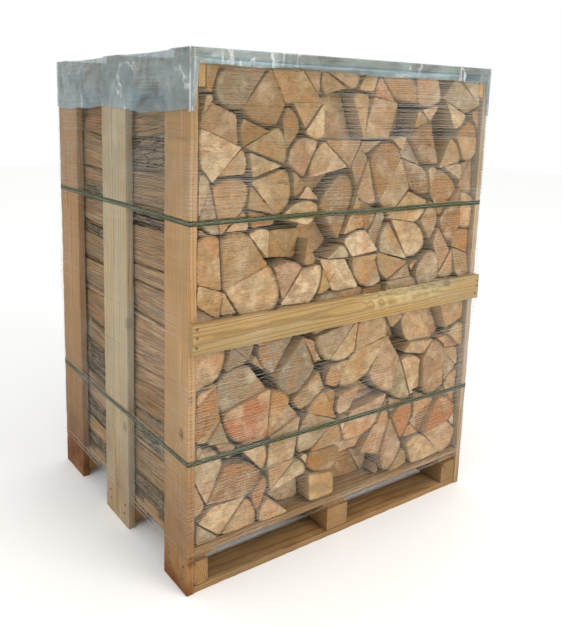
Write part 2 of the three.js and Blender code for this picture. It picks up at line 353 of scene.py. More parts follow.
def sawn_board(cad_node, material, wanes=(), tint=1.0):
    """A board or block in a CAD node's box, its faces never outside it. A wane is
    (arris, from, to, depth, reach), with from and to as shares of the length."""
    rng = np.random.default_rng(sum(ord(c) * (i + 3) for i, c in enumerate(cad_node)))
    low, high = (np.array(c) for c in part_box(cad_node))
    size = high - low
    long_axis, thin_axis = int(size.argmax()), int(size.argmin())
    wide_axis = 3 - long_axis - thin_axis
    length = size[long_axis]
    section, inward, arris = board_section(size[wide_axis], size[thin_axis])
    count = len(section)
    steps = max(6, round(length / STATION_STEP))
    stations = stations_along(length, BOARD_ENDS, steps)
    round_way = np.arange(count)[None, :] / count
    run = stations[:, None]
    inset = FACE_INSET + FACE_WAVE * smooth_random(rng, run, round_way, ((2, 30), (1, 6)))
    worn = np.maximum(0, smooth_random(rng, run, round_way, ((3, 22), (0.5, 2))))
    inset = inset + (arris >= 0)[None, :] * ARRIS_WEAR * worn
    # Chips along the arrises.
    for _ in range(rng.integers(3, 7)):
        corner, middle = rng.integers(0, 4), rng.uniform(0, length)
        reach, depth = rng.uniform(0.006, 0.025), rng.uniform(0.001, 0.0035)
        inset = inset + (arris == corner)[None, :] * depth * np.exp(-((run - middle) / reach) ** 2)
    torn = np.zeros_like(inset)
    for corner, begin, end, depth, reach in wanes:
        share = run / length
        rise = np.clip((share - begin) / WANE_FADE, 0, 1) * np.clip((end - share) / WANE_FADE, 0, 1)
        ragged = 0.75 + 0.6 * smooth_random(rng, run, round_way, ((4, 30), (1, 5)))
        arris_place = section[arris == corner].mean(axis=0)
        near = np.clip(1.2 - np.hypot(*(section - arris_place).T) / reach, 0, 1)
        torn = torn + near[None, :] * rise * np.maximum(ragged, 0.1)
        inset = inset + near[None, :] ** 1.5 * depth * rise * ragged
    inset = np.maximum(inset, LEAST_INSET)
    inset[[0, -1]] += END_CHAMFER
    flat = section[None, :, :] + inward[None, :, :] * inset[:, :, None]
    middle = (low + high) / 2
    rings = np.zeros((len(stations), count, 3))
    rings[:, :, long_axis] = low[long_axis] + run
    rings[:, :, wide_axis] = middle[wide_axis] + flat[:, :, 0]
    rings[:, :, thin_axis] = middle[thin_axis] + flat[:, :, 1]
    ends = np.array([rings[0].mean(axis=0), rings[-1].mean(axis=0)])
    points = np.concatenate([rings.reshape(-1, 3), ends])
    first, last = range(count), range((len(stations) - 1) * count, len(stations) * count)
    faces = tube(len(stations), count)
    for i in range(count):
        k = (i + 1) % count
        faces.append((len(points) - 2, first[k], first[i]))
        faces.append((len(points) - 1, last[i], last[k]))
    # The section turns the right way only when the three axes are in cyclic order.
    if (wide_axis, thin_axis, long_axis) not in ((0, 1, 2), (1, 2, 0), (2, 0, 1)):
        faces = [tuple(reversed(face)) for face in faces]
    piece = new_piece(cad_node + "_wood", points, faces, [material], [cad_node], sharp_from=35)
    across = points - middle
    pith = (rng.uniform(-0.03, 0.03), rng.uniform(0.02, 0.08))
    lean = rng.uniform(-0.03, 0.03)
    grain = np.stack([points[:, long_axis] + rng.uniform(0, 40),
                      across[:, wide_axis] + pith[0] + lean * across[:, long_axis],
                      across[:, thin_axis] + pith[1]], axis=1)
    add_attribute(piece.data, "grain", grain)
    shade = tint * rng.uniform(0.9, 1.06) * np.array([1, rng.uniform(0.96, 1.02), rng.uniform(0.9, 1.04)])
    paler = np.clip(1.6 * np.concatenate([torn.ravel(), [0, 0]]), 0, 1)[:, None]
    pale = 1 + paler * np.array([0.26, 0.56, 1.15, 0])
    add_attribute(piece.data, "tone", np.tile([*shade, 1.0], (len(points), 1)) * pale)


pallet_wood = sawn_softwood("spruce pallet board", "AC8C60", "84633A", "5E3E22", "857A5E", 0.6)
post_wood = sawn_softwood("fresh-sawn pine board", "BB9365", "9E7344", "6E4324", "9A8768", 0.4, 1.7)
old_wood = sawn_softwood("weathered pine board", "C2AA86", "97805F", "6A5238", "A39C8A", 0.75)
rail_wood = sawn_softwood("straw-coloured spruce board", "B6935C", "8E6C3C", "684626", "8E8464", 0.5)

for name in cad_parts:
    if name.startswith(("skid_board", "block", "stringer", "deck_board")):
        sawn_board(name, pallet_wood)
    elif name.startswith("post"):
        weathered = name.endswith("middle")
        sawn_board(name,
                   old_wood if weathered or name == "post_right_front" else post_wood,
                   tint=0.86 if name == "post_left_back" else 0.97)
    elif name.startswith(("side_rail", "top_board")):
        sawn_board(name, rail_wood, tint=1.25 if name.startswith("side_rail") else 1.0)
# The front mid rail keeps a wane along the top of its right half, torn pale by the saw.
sawn_board("mid_rail_front", rail_wood, wanes=[(0, 0.48, 0.90, 0.013, 0.055)], tint=0.91)
sawn_board("mid_rail_back", rail_wood, wanes=[(1, 0.15, 0.4, 0.008, 0.03)])

# ---- Split logs ------------------------------------------------------------------------
# Beech, alder and birch, sawn to 46 cm and split into wedges, then stacked in two rows
# with their ends to the front and the back. Each log has torn split faces, often one
# curved side with bark, and a sawn end that shows its growth rings and drying cracks.

(ROW_LEFT, _, ROW_FLOOR), (_, _, ROW_TOP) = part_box("log_row_front")
(_, _, RAIL_UNDERSIDE), (RAIL_INSIDE, _, _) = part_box("side_rail_left")
LOG_SPACING = 0.113              # between neighbouring corners of the splits
LINE_SPACING = 0.88              # the same between lines of corners, as a share of it
DRIFT, SIDE_DRIFT = 0.33, 0.3    # how far corners stray, as shares of it
SIDE_CLEAR = 0.36                # how far inner corners keep from the sides, as a share
SMALLEST = (0.0020, 17)          # twice the area and the least angle of a split
SMALLEST_BY_POSTS = (0.0012, 11)
JOINED_SHARE = 0.56              # of neighbouring triangles that stay one quarter log
JOINED_ANGLES = (42, 150)
BARK_SHARE, ONE_BARK_SIDE = 0.86, 0.45
COURSES = 12                     # pieces that each row is made up in, from the bottom up
EDGE_STEP = 0.0075
LOG_STATIONS = 13
LOG_ENDS = (0.004, 0.03)         # stations beside each end
ROUNDINGS = 14                   # passes that round the outline under bark
BARK_DEPTH, TORN_DEPTH = (0.0008, 0.0018), (0.0007, 0.0020)  # mean and unevenness
TWIST, SWAY, TAPER = 0.035, 0.006, (-0.03, 0.01)
OUT_OF_SQUARE = 0.05             # slope of the sawn ends
MOST_DROP, MOST_SHIFT = 0.020, 0.012  # of the hidden ends, away from the row's face
FITS, FIT_SHARES = ((0.985, 1.0), (0.91, 0.96)), (0.8, 0.2)  # a log's size in its place
TURNED, SHIFTED = 0.028, 0.045   # how far loose logs turn and shift
LOOSE_WITHIN = 0.5               # logs further out than this fill their places
SWELL_SHARE, SWELL_MOST = 0.15, 0.018
END_RINGS = ((0.975, -0.0012), (0.72, 0.0), (0.36, 0.0))  # size and depth inside a sawn end's edge
STAGGERS = ((0.001, 0.007), (0.010, 0.024), (0.045, 0.095))  # how far ends stand back
STAGGER_SHARES = (0.70, 0.17, 0.13)
NEAR_POSTS, MOST_BY_POSTS = 0.44, 0.02  # beyond the first, they stand back this at most
HIDDEN_STAGGER = (0.001, 0.02)   # the same for the ends inside the crate
SKIN = 0.0008                    # kept between the logs and the row's limits
HARDWOOD_RING = 0.005            # real rings are 2 mm apart
END_TONES = {"C6A67E": 16, "BE9C72": 18, "AE8C64": 17, "B89566": 11, "D4BA94": 11, "B59272": 7,
             "A39074": 8, "94866C": 6, "AE6C40": 3, "A67A48": 8, "8C6843": 7}
TONE_SHARES = np.array(list(END_TONES.values())) / sum(END_TONES.values())


def sawn_end(tree, grain, mottle):
    """The colour of a sawn end, and the height that its surface is bumped by."""
    own = attribute(tree, "own_colour", "Color")
    wobble = scaled(mottle["Color"], (0, 0.012, 0.012))
    bent = vector_calc("ADD", grain, wobble)
    parts = axes_of(bent)
    ringed = tinted(own, "7A5632", growth_rings(bent, HARDWOOD_RING), 0.1, 1.0, 0.14)
    # Drying cracks run out from the pith: thin bands of one angle, broken up by noise.
    angle = calc("ARCTAN2", parts["Y"], parts["Z"])
    far_off = calc("MULTIPLY", parts["X"], 3.0)
    fan = node(tree, "ShaderNodeCombineXYZ", {0: angle, 1: far_off, 2: 0.0})[0]
    crack = thin_lines(noise(fan, 8, 1)["Fac"], 0.01, 0.002)
    broken = remap(mottle["Fac"], 0.5, 0.6, 0.0, 0.75)
    crack_mask = calc("MULTIPLY", crack, broken)
    cracked = mix(crack_mask, ringed, "4A3320")
    # The chain saw leaves shallow strokes; dust and damp leave pale and grey clouds.
    stroke = noise(grain, (3, 95, 260), 3)
    cloud = noise(grain, 24, 4)
    stain = noise(grain, (1.0, 20, 36), 5, 0.6, 0.6)
    ruddy = noise(grain, 13, 4, 0.6)
    stained = tinted(cracked, "866237", stain["Fac"], 0.46, 0.62, 0.55)
    reddened = tinted(stained, "B8763F", ruddy["Fac"], 0.52, 0.66, 0.5)
    dried = tinted(reddened, "D2BC98", ruddy["Fac"], 0.48, 0.36, 0.45)
    clouded = tinted(dried, "857250", cloud["Fac"], 0.46, 0.66, 0.5)
    pale = remap(stroke["Fac"], 0.35, 0.7, 0.8, 1.17)
    # Painted shade: each sawn end is darker towards its rim, most of all where bark is, as if shaded
    # where the logs meet.
    edge = remap(attribute(tree, "rim", "Fac"), 0.55, 1.0, 1.0, 0.45)
    colour = mix(1.0, clouded, calc("MULTIPLY", pale, edge), blend="MULTIPLY")
    return colour, calc("SUBTRACT", stroke["Fac"], crack_mask)


def split_face(tree, grain, mottle):
    """The same for a split face: torn fibres in steps 2 to 6 mm wide, dark where damp stayed."""
    fibre = noise(grain, (7, 190, 190), 6, 0.7)
    band = noise(grain, (3, 40, 40), 4)
    torn = mix(0.5, attribute(tree, "own_colour", "Color"), "A68359")
    streaked = mix(remap(fibre["Fac"], 0.42, 0.6, 0.74, 0.0), torn, "503B27")
    damped = tinted(streaked, "6A5E4C", band["Fac"], 0.48, 0.66, 0.65)
    colour = tinted(damped, "A9713F", mottle["Fac"], 0.52, 0.7, 0.45)
    return colour, calc("ADD", fibre["Fac"], band["Fac"])


def bark_plates(tree, grain, mottle):
    """The same for bark: plates longer than wide, dark in the furrows, with grey lichen."""
    wave = scaled(mottle["Color"], (1.6, 1.6, 1.6))
    plate_bent = vector_calc("ADD", scaled(grain, (9, 80, 80)), wave)
    plates = node(tree, "ShaderNodeTexVoronoi", {"Vector": plate_bent, "Scale": 1},
                  feature="DISTANCE_TO_EDGE")["Distance"]
    furrow = remap(plates, 0.02, 0.22)
    fine = noise(grain, 160, 5)
    plate_tone = mix(mottle["Fac"], "6E5B45", "8E7A5E")
    furrowed = mix(furrow, "32271C", plate_tone)
    colour = tinted(furrowed, "9A9282", fine["Fac"], 0.56, 0.7, 0.5)
    return colour, calc("ADD", furrow, fine["Fac"])


def split_wood(name, paint, strength, depth, dust_and_gap_light_tone=None):
    """Split hardwood. Saw dust clings to a log's sides in the last centimetres of it, and that lighter
    colour is also painted light in the gaps between the logs.
    """
    material, tree = new_material(name)
    grain = attribute(tree, "grain", "Vector")
    mottle = noise(grain, 22, 5, 0.6)
    colour, relief = paint(tree, grain, mottle)
    # Near its ends a log's sides are painted lighter: saw dust, and painted light in the shaded gaps
    # between logs.
    if dust_and_gap_light_tone:
        colour = mix(attribute(tree, "rim", "Fac"), colour, dust_and_gap_light_tone)
    gloss = remap(mottle["Fac"], 0.0, 1.0, 0.72, 0.95)
    surface(tree, {"Base Color": colour, "Roughness": gloss, "Normal": bump(relief, strength, depth),
                   "IOR": 1.45, "Specular IOR Level": 0.25})
    return material


log_finishes = [split_wood("chain-sawn hardwood end", sawn_end, 0.6, 0.0015),
                split_wood("split hardwood face", split_face, 0.9, 0.004, "C0A276"),
                split_wood("furrowed hardwood bark", bark_plates, 0.9, 0.0035, "A08A6C")]
SAWN, SPLIT, BARK = range(3)


def split_corners(rng):
    """Corners of the splits over a row's face: staggered lines, loosely placed."""
    left, right = ROW_LEFT + 0.002, -ROW_LEFT - 0.002
    bottom, top = ROW_FLOOR + 0.001, ROW_TOP + 0.011
    lines = round((top - bottom) / (LOG_SPACING * LINE_SPACING))
    across = round((right - left) / LOG_SPACING)
    drift, clear = DRIFT * LOG_SPACING, SIDE_CLEAR * LOG_SPACING
    corners = []
    for line in range(lines + 1):
        height = bottom + (top - bottom) * line / lines
        on_edge = line in (0, lines)
        shift = 0.5 if line % 2 else 0.0
        for number in range(across + 1):
            x = left + (right - left) * (number + shift) / across
            if x > right - 0.3 * LOG_SPACING or number + shift == 0:
                continue
            rise = 0
            if line == lines:
                rise = rng.uniform(-0.012, 0)
            elif line > 0:
                rise = rng.uniform(-drift, drift)
            placed = np.clip(x + rng.uniform(-drift, drift), left + clear, right - clear)
            corners.append((float(placed), height + rise))
        for side_x, way in ((left, 1), (right, -1)):
            rise = 0 if on_edge else rng.uniform(-SIDE_DRIFT, SIDE_DRIFT) * LOG_SPACING
            recess = 0 if on_edge else rng.uniform(0, 0.004)
            corners.append((side_x + way * recess, height + rise))
    return corners


def corner_angles(ring):
    """The inside angle at each corner of a ring of points, in degrees."""
    back, ahead = np.roll(ring, 1, axis=0) - ring, np.roll(ring, -1, axis=0) - ring
    turn = np.arctan2(back[:, 1], back[:, 0]) - np.arctan2(ahead[:, 1], ahead[:, 0])
    return np.degrees(turn % (2 * math.pi))


def split_outlines(rng):
    """Triangles and quarters that fill a row's face, as rings of corner numbers."""
    corners = split_corners(rng)
    places, _, triangles = delaunay_2d_cdt([Vector(c) for c in corners], [], [], 0, 1e-6)[:3]
    places = np.array([tuple(p) for p in places])
    rings = []
    for ring in (list(t) for t in triangles):
        a, b, c = places[ring]
        doubled = (b[0] - a[0]) * (c[1] - a[1]) - (b[1] - a[1]) * (c[0] - a[0])
        ring = ring if doubled > 0 else ring[::-1]
        beside_posts = np.abs(places[ring][:, 0]).max() > -ROW_LEFT - 0.02
        least_area, least_angle = SMALLEST_BY_POSTS if beside_posts else SMALLEST
        if abs(doubled) > least_area and corner_angles(places[ring]).min() > least_angle:
            rings.append(ring)
    owner = {}
    for index, ring in enumerate(rings):
        for a, b in sides(ring):
            owner[(a, b)] = index
    joined = set()
    shared = [(a, b) for (a, b) in owner if a < b and (b, a) in owner]
    rng.shuffle(shared)
    for a, b in shared:
        first, second = owner[(a, b)], owner[(b, a)]
        if first in joined or second in joined or rng.random() > JOINED_SHARE:
            continue
        tip = next(v for v in rings[second] if v not in (a, b))
        at = rings[first].index(a)
        ring = rings[first][:at + 1] + [tip] + rings[first][at + 1:]
        angles = corner_angles(places[ring])
        if angles.min() < JOINED_ANGLES[0] or angles.max() > JOINED_ANGLES[1]:
            continue
        rings[first], rings[second] = ring, []
        joined |= {first, second}
    return places, [ring for ring in rings if ring]


def cross_lines(p, way, q, other):
    """Where the line through p along way meets the line through q along other."""
    scale = way[0] * other[1] - way[1] * other[0]
    run = ((q[0] - p[0]) * other[1] - (q[1] - p[1]) * other[0]) / scale
    return p + way * run


def softened(points):
    """A closed outline with every point drawn halfway towards its neighbours."""
    return 0.5 * points + 0.25 * (np.roll(points, 1, axis=0) + np.roll(points, -1, axis=0))


def log_section(ring, places, bark_edges, sunk, bulge):
    """Points round one log, which of them start a stretch of bark, and its pith."""
    corners = places[ring]
    count = len(ring)
    ways = [corners[(i + 1) % count] - corners[i] for i in range(count)]
    lengths = [float(np.hypot(*w)) for w in ways]
    ways = [w / l for w, l in zip(ways, lengths)]
    inward = [np.array([-w[1], w[0]]) for w in ways]
    base = [corners[i] + inward[i] * sunk[i] for i in range(count)]
    tight = [cross_lines(base[i - 1], ways[i - 1], base[i], ways[i]) for i in range(count)]
    points, bark = [], []
    for i in range(count):
        start, end = tight[i], tight[(i + 1) % count]
        span = float(np.hypot(*(end - start)))
        steps = max(3, round(span / EDGE_STEP))
        swell = min(SWELL_MOST, SWELL_SHARE * span) * bulge[i]
        for step in range(steps):
            t = step / steps
            points.append(start + (end - start) * t - inward[i] * swell * (1 - (2 * t - 1) ** 2))
            bark.append(i in bark_edges)
    points, bark = np.array(points), np.array(bark)
    # Under bark the outline is round; between two split faces the arris is a little blunt.
    inside_bark = (bark & np.roll(bark, 1) & np.roll(bark, -1))[:, None]
    for _ in range(ROUNDINGS if len(bark_edges) == 2 else 0):
        points = np.where(inside_bark, softened(points), points)
    points = softened(points)
    if not bark_edges:
        pith = points.mean(axis=0) + np.array([0.05, 0.09])
    elif len(bark_edges) == 2:
        pith = tight[(bark_edges[1] + 2) % count]
    else:
        edge = bark_edges[0]
        depth = ((points - tight[edge]) @ inward[edge]).max()
        pith = (tight[edge] + tight[(edge + 1) % count]) / 2 + inward[edge] * (depth + 0.004)
    return points, bark, pith


def log_rings(rng, section, is_bark, near, far):
    """Outlines along one log, torn, tapered, twisted and sawn a little out of square."""
    centre = section.mean(axis=0)
    length = far - near
    runs = stations_along(length, LOG_ENDS, LOG_STATIONS)
    share = (runs / length - 0.5)[:, None]
    edge_runs = np.cumsum(np.hypot(*(np.roll(section, -1, axis=0) - section).T))[None, :]
    run = runs[:, None]
    torn = smooth_random(rng, edge_runs, run, ((14, 75), (0.2, 2.2)), 9)
    ridged = smooth_random(rng, edge_runs, run, ((25, 85), (4, 22)), 9)
    inset = np.where(is_bark[None, :], BARK_DEPTH[0] + BARK_DEPTH[1] * ridged,
                     TORN_DEPTH[0] + TORN_DEPTH[1] * torn)
    inset = np.maximum(inset, -0.0003)
    out = section - centre
    out = out / np.hypot(*out.T)[:, None]
    twist = rng.uniform(-TWIST, TWIST) * share
    sway = rng.uniform(-SWAY, SWAY, 2)
    taper = 1 + rng.uniform(*TAPER) * np.abs(share) * 2
    flat = (section - centre)[None] * taper[:, :, None] - out[None] * inset[:, :, None]
    turned = np.stack([flat[:, :, 0] * np.cos(twist) - flat[:, :, 1] * np.sin(twist),
                       flat[:, :, 0] * np.sin(twist) + flat[:, :, 1] * np.cos(twist)], axis=2)
    turned = turned + centre + share[:, :, None] * sway
    slant = rng.normal(0, OUT_OF_SQUARE, (2, 2))
    rings = np.zeros((len(runs), len(section), 3))
    rings[:, :, 0], rings[:, :, 2] = turned[:, :, 0], turned[:, :, 1]
    rings[:, :, 1] = near + run
    for row in (0, 1, -2, -1):
        off = (rings[row][:, [0, 2]] - centre) @ slant[0 if row >= 0 else 1]
        rings[row, :, 1] += off - (off.min() if row >= 0 else off.max())
    return rings


def sawn_cap(rng, ring, numbers, first, facing):
    """A sawn end over its outline, a little rough: its points, from number first, and faces."""
    middle = ring.mean(axis=0)
    count = len(ring)
    points, faces = [], []
    for shrink, dip in END_RINGS:
        inner = middle + (ring - middle) * shrink
        inner[:, 1] += facing * (dip + rng.normal(0, 0.00035, count))
        next_numbers = range(first, first + count)
        first += count
        points.extend(inner)
        faces += strip(numbers, next_numbers)
        numbers = next_numbers
    points.append(middle)
    faces += [(numbers[i], numbers[(i + 1) % count], first) for i in range(count)]
    return points, faces if facing > 0 else [face[::-1] for face in faces]


def build_log(rng, section, bark, pith, near, far):
    """One log: its points, its faces with their finishes, and its attributes."""
    count = len(section)
    is_bark = bark | np.roll(bark, 1)
    rings = log_rings(rng, section, is_bark, near, far)
    total = len(rings) * count
    near_points, near_faces = sawn_cap(rng, rings[0], range(count), total, 1)
    far_points, far_faces = sawn_cap(rng, rings[-1], range(total - count, total),
                                     total + len(near_points), -1)
    points = np.concatenate([rings.reshape(-1, 3), near_points, far_points])
    faces = [face[::-1] for face in tube(len(rings), count)] + near_faces + far_faces
    finishes = [BARK if has_bark else SPLIT for has_bark in bark] * (len(rings) - 1)
    finishes += [SAWN] * (len(near_faces) + len(far_faces))
    grain = np.stack([points[:, 1] + rng.uniform(0, 90), points[:, 0] - pith[0],
                      points[:, 2] - pith[1]], axis=1)
    rim = np.zeros(len(points))
    edge_shade = np.where(is_bark, 1.0, 0.66)
    fading = np.zeros(len(rings))
    fading[[0, 1, -2, -1]] = 1.0
    fading[[2, -3]] = 0.6
    rim[:total] = np.outer(fading, edge_shade).ravel()
    for start in (total, total + len(near_points)):
        rim[start:start + count] = edge_shade * 0.95
    shade = np.array(linear(rng.choice(list(END_TONES), p=TONE_SHARES))[:3])
    colour = shade * rng.uniform(0.78, 1.11) * [1, rng.uniform(0.95, 1.03), rng.uniform(0.88, 1.05)]
    own = np.tile([*colour, 1.0], (len(points), 1))
    return points, faces, finishes, grain, rim, own


def settle(points, face):
    """Lets the logs slope a little away from the face of the row, neighbours together."""
    share = 1 - np.abs(points[:, 1]) / face
    x, z = points[:, 0], points[:, 2]
    room = np.clip((z - ROW_FLOOR) / 0.15, 0, 1) * np.clip((ROW_TOP - z) / 0.15, 0, 1)
    slope = np.sin(z * 7.3 + x * 3.1) + 0.7 * np.sin(z * 17.0 - x * 5.0 + 1.0) + 0.4 * np.sin(x * 19.0)
    points[:, 2] -= MOST_DROP * share * room * (slope + 0.9)
    side_room = np.clip((-ROW_LEFT - np.abs(x)) / 0.1, 0, 1)
    points[:, 0] += MOST_SHIFT * share * side_room * np.sin(z * 11.0 + x * 9.0)


def choose_bark(rng, places, rings, edge_owner):
    """Which sides of each log have bark: one or two, and never two facing each other."""
    bark_edges = [() for _ in rings]
    for i, ring in enumerate(rings):
        if rng.random() > BARK_SHARE:
            continue
        count = len(ring)
        apex = int(corner_angles(places[ring]).argmin())
        chosen = [(apex + 1) % count]
        if count == 4 and rng.random() >= ONE_BARK_SIDE:
            chosen.append((apex + 2) % count)
        taken = [edge_owner.get((ring[(e + 1) % count], ring[e])) for e in chosen]
        if None in taken:
            chosen, taken = chosen[:1], taken[:1]
        blocked = [other is not None and any(rings[other][e] == ring[(mine + 1) % count]
                                             for e in bark_edges[other])
                   for mine, other in zip(chosen, taken)]
        bark_edges[i] = tuple(e for e, is_blocked in zip(chosen, blocked) if not is_blocked)
    return bark_edges


def loosen(rng, section):
    """No two splits fit each other: most leave a little room, and a few leave a hole."""
    middle = section.mean(axis=0)
    size = rng.choice([rng.uniform(*fit) for fit in FITS], p=FIT_SHARES)
    if abs(middle[0]) < LOOSE_WITHIN:
        angle = rng.normal(0, TURNED)
        turn = np.array([[math.cos(angle), math.sin(angle)], [-math.sin(angle), math.cos(angle)]])
        shift = rng.uniform(-SHIFTED, SHIFTED, 2) * (1 - size)
        section = middle + (section - middle) @ turn * size + shift
    section[:, 0] = np.clip(section[:, 0], ROW_LEFT + SKIN, -ROW_LEFT - SKIN)
    section[:, 1] = np.clip(section[:, 1], ROW_FLOOR + SKIN, ROW_TOP - SKIN)
    return section


def stack_row(cad_node, label, seed):
    """Fills one row's space with logs and makes them up in courses."""
    rng = np.random.default_rng(seed)
    (_, near_limit, _), (_, far_limit, _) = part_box(cad_node)
    places, rings = split_outlines(rng)
    high = places[:, 1] > RAIL_UNDERSIDE - 0.03
    places[high, 0] = np.clip(places[high, 0], RAIL_INSIDE + 0.004, -RAIL_INSIDE - 0.004)
    edge_owner = {(a, b): i for i, ring in enumerate(rings) for a, b in sides(ring)}
    bark_edges = choose_bark(rng, places, rings, edge_owner)
    courses = [[] for _ in range(COURSES)]
    for i, ring in enumerate(rings):
        sunk, bulge = [], []
        for number, (a, b) in enumerate(sides(ring)):
            swell = min(SWELL_MOST, SWELL_SHARE * float(np.hypot(*(places[b] - places[a]))))
            other = edge_owner.get((b, a))
            gap = rng.uniform(0.0003, 0.0015)
            has_bark = number in bark_edges[i]
            if other is None:
                bulge.append(rng.uniform(0.05, 0.25) + 0.2 * has_bark)
                sunk.append(0.001 + bulge[-1] * swell)
                continue
            bulge.append(float(has_bark))
            faces_bark = any(rings[other][e] == b for e in bark_edges[other])
            sunk.append(0.85 * swell + gap if faces_bark else gap)
        section, bark, pith = log_section(ring, places, bark_edges[i], sunk, bulge)
        section = loosen(rng, section)
        stagger = rng.choice([rng.uniform(*span) for span in STAGGERS], p=STAGGER_SHARES)
        if abs(section[:, 0].mean()) > NEAR_POSTS:
            stagger = min(stagger, MOST_BY_POSTS)
        near = near_limit + (stagger if label == "front" else rng.uniform(*HIDDEN_STAGGER))
        far = far_limit - (stagger if label == "back" else rng.uniform(*HIDDEN_STAGGER))
        course = int((section[:, 1].mean() - ROW_FLOOR) / (ROW_TOP - ROW_FLOOR) * COURSES)
        log = build_log(rng, section, bark, pith, near, far)
        settle(log[0], abs(near_limit if label == "front" else far_limit))
        courses[min(COURSES - 1, course)].append(log)
    for number, logs in enumerate(courses, start=1):
        faces, start = [], 0
        for log in logs:
            faces += [tuple(v + start for v in face) for face in log[1]]
            start += len(log[0])
        points, grain, rim, own = (np.concatenate([log[part] for log in logs]) for part in (0, 3, 4, 5))
        piece = new_piece(f"logs_{label}_{number:02d}", points, faces, log_finishes,
                          [cad_node], sharp_from=42)
        piece.data.polygons.foreach_set("material_index", [f for log in logs for f in log[2]])
        add_attribute(piece.data, "grain", grain)
        add_attribute(piece.data, "rim", rim)
        add_attribute(piece.data, "own_colour", own)


stack_row("log_row_front", "front", 11)
stack_row("log_row_back", "back", 23)

# ---- Nails -----------------------------------------------------------------------------
# Bright wire nails with flat round heads, driven flush through the rails, posts and top
# boards into the piece behind. Only the heads show.

HEAD_RADIUS, HEAD_PROUD, HEAD_SUNK = 0.0042, 0.0006, 0.0014
NAIL_STRAY = 0.006               # how far a nail stands from its even place


def new_tree(name, sizes):
    """A Geometry Nodes tree with its named inputs, and its group input node."""
    tree = bpy.data.node_groups.new(name, "GeometryNodeTree")
    tree.interface.new_socket("Geometry", in_out="INPUT", socket_type="NodeSocketGeometry")
    for label, value in sizes.items():
        kind = {bool: "Bool", int: "Int", float: "Float", bpy.types.Material: "Material"}[type(value)]
        tree.interface.new_socket(label, in_out="INPUT", socket_type="NodeSocket" + kind)
    tree.interface.new_socket("Geometry", in_out="OUTPUT", socket_type="NodeSocketGeometry")
    return tree, node(tree, "NodeGroupInput")


def grow(name, tree, sizes, points=(), facing=None):
    """Runs a tree on a few points and returns the plain mesh that it makes."""
    mesh = bpy.data.meshes.new(name + " points")
    mesh.from_pydata([tuple(p) for p in points], [], [])
    if facing is not None:
        add_attribute(mesh, "facing", facing)
    seed_piece = bpy.data.objects.new(name + " points", mesh)
    bpy.context.collection.objects.link(seed_piece)
    modifier = seed_piece.modifiers.new("nodes", "NODES")
    modifier.node_group = tree
    for item in tree.interface.items_tree:
        if item.in_out == "INPUT" and item.name in sizes:
            modifier[item.identifier] = sizes[item.name]
    evaluated = seed_piece.evaluated_get(bpy.context.evaluated_depsgraph_get())
    grown = bpy.data.meshes.new_from_object(evaluated)
    grown.name = name
    bpy.data.objects.remove(seed_piece)
    return grown


nail_steel, tree = new_material("bright wire nail")
rust = noise(node(tree, "ShaderNodeTexCoord")["Object"], 300, 3)
rust_part = remap(rust["Fac"], 0.45, 0.65)
surface(tree, {"Base Color": mix(rust_part, "6C6862", "4A3426"), "Metallic": 0.8,
               "Roughness": remap(rust_part, 0.0, 1.0, 0.4, 0.8)})

nail_sizes = {"Head radius": HEAD_RADIUS, "Head height": HEAD_PROUD + HEAD_SUNK, "Steel": nail_steel}
nail_tree, sizes_in = new_tree("nail heads", nail_sizes)
head = node(nail_tree, "GeometryNodeMeshCylinder",
            {"Vertices": 14, "Radius": sizes_in["Head radius"], "Depth": sizes_in["Head height"]})[0]
facing = node(nail_tree, "GeometryNodeInputNamedAttribute", {"Name": "facing"},
              data_type="FLOAT_VECTOR")["Attribute"]
aim = node(nail_tree, "FunctionNodeAlignRotationToVector", {"Vector": facing}, axis="Z")[0]
placed = node(nail_tree, "GeometryNodeInstanceOnPoints",
              {"Points": sizes_in["Geometry"], "Instance": head, "Rotation": aim})[0]
real = node(nail_tree, "GeometryNodeRealizeInstances", {"Geometry": placed})[0]
steeled = node(nail_tree, "GeometryNodeSetMaterial", {"Geometry": real, "Material": sizes_in["Steel"]})[0]
node(nail_tree, "NodeGroupOutput", {"Geometry": steeled})

# Each: board, the axis its outer face looks along, which way, and offsets of the nails from
# its low side (or from its high side where negative) across and along.
NAILED = [("mid_rail_front", 1, -1, (0.011, -0.013), (0.02, 0.045, 0.07)),
          ("mid_rail_back", 1, 1, (0.011, -0.013), (0.02, 0.045, 0.07))]
NAILED += [(f"post_{side}_{row}", 0, way, (0.030, -0.035), (0.045, 0.080, 1.475, 1.512))
           for side, way in (("left", -1), ("right", 1)) for row in ("front", "middle", "back")]
NAILED += [(f"top_board_{row}", 2, 1, (0.012, -0.012), (0.025, 0.060))
           for row in ("front", "middle", "back")]

rng = random.Random(5)
spots, outwards = [], []
for board, axis, side, across, along in NAILED:
    low, high = (Vector(c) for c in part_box(board))
    free = [a for a in range(3) if a != axis]
    outward = Vector((0, 0, 0))
    outward[axis] = side
    for offsets in [(u, v) for u in across for v in along]:
        spot = Vector((0, 0, 0))
        for which, offset in zip(free, offsets):
            start = low[which] if offset >= 0 else high[which]
            spot[which] = start + offset + rng.uniform(-NAIL_STRAY, NAIL_STRAY)
        face = high[axis] if side > 0 else low[axis]
        spot[axis] = face + side * (HEAD_PROUD - HEAD_SUNK) / 2
        spots.append(spot)
        outwards.append(outward)
head_mesh = grow("nail_heads", nail_tree, nail_sizes, spots, outwards)
head_mesh.set_sharp_from_angle(angle=math.radians(40))
add_piece("nail_heads", head_mesh)

# ---- Straps ----------------------------------------------------------------------------
# Two bands of green polyester strapping, 15.5 mm wide, embossed for grip. Each is pulled
# tight over the posts' corners and its ends are friction-welded, one over the other.

STRAP_STEP = 0.018               # between points of its route; a bend has BEND_STEPS
BEND_RADIUS, BEND_STEPS = 0.0035, 4
STRAP_INSET = 0.0006             # its middle lies this far inside the CAD box
STRAP_THICK = 0.0008
WELD_LAP, LAP_LIFT = 0.055, 1.05 * STRAP_THICK
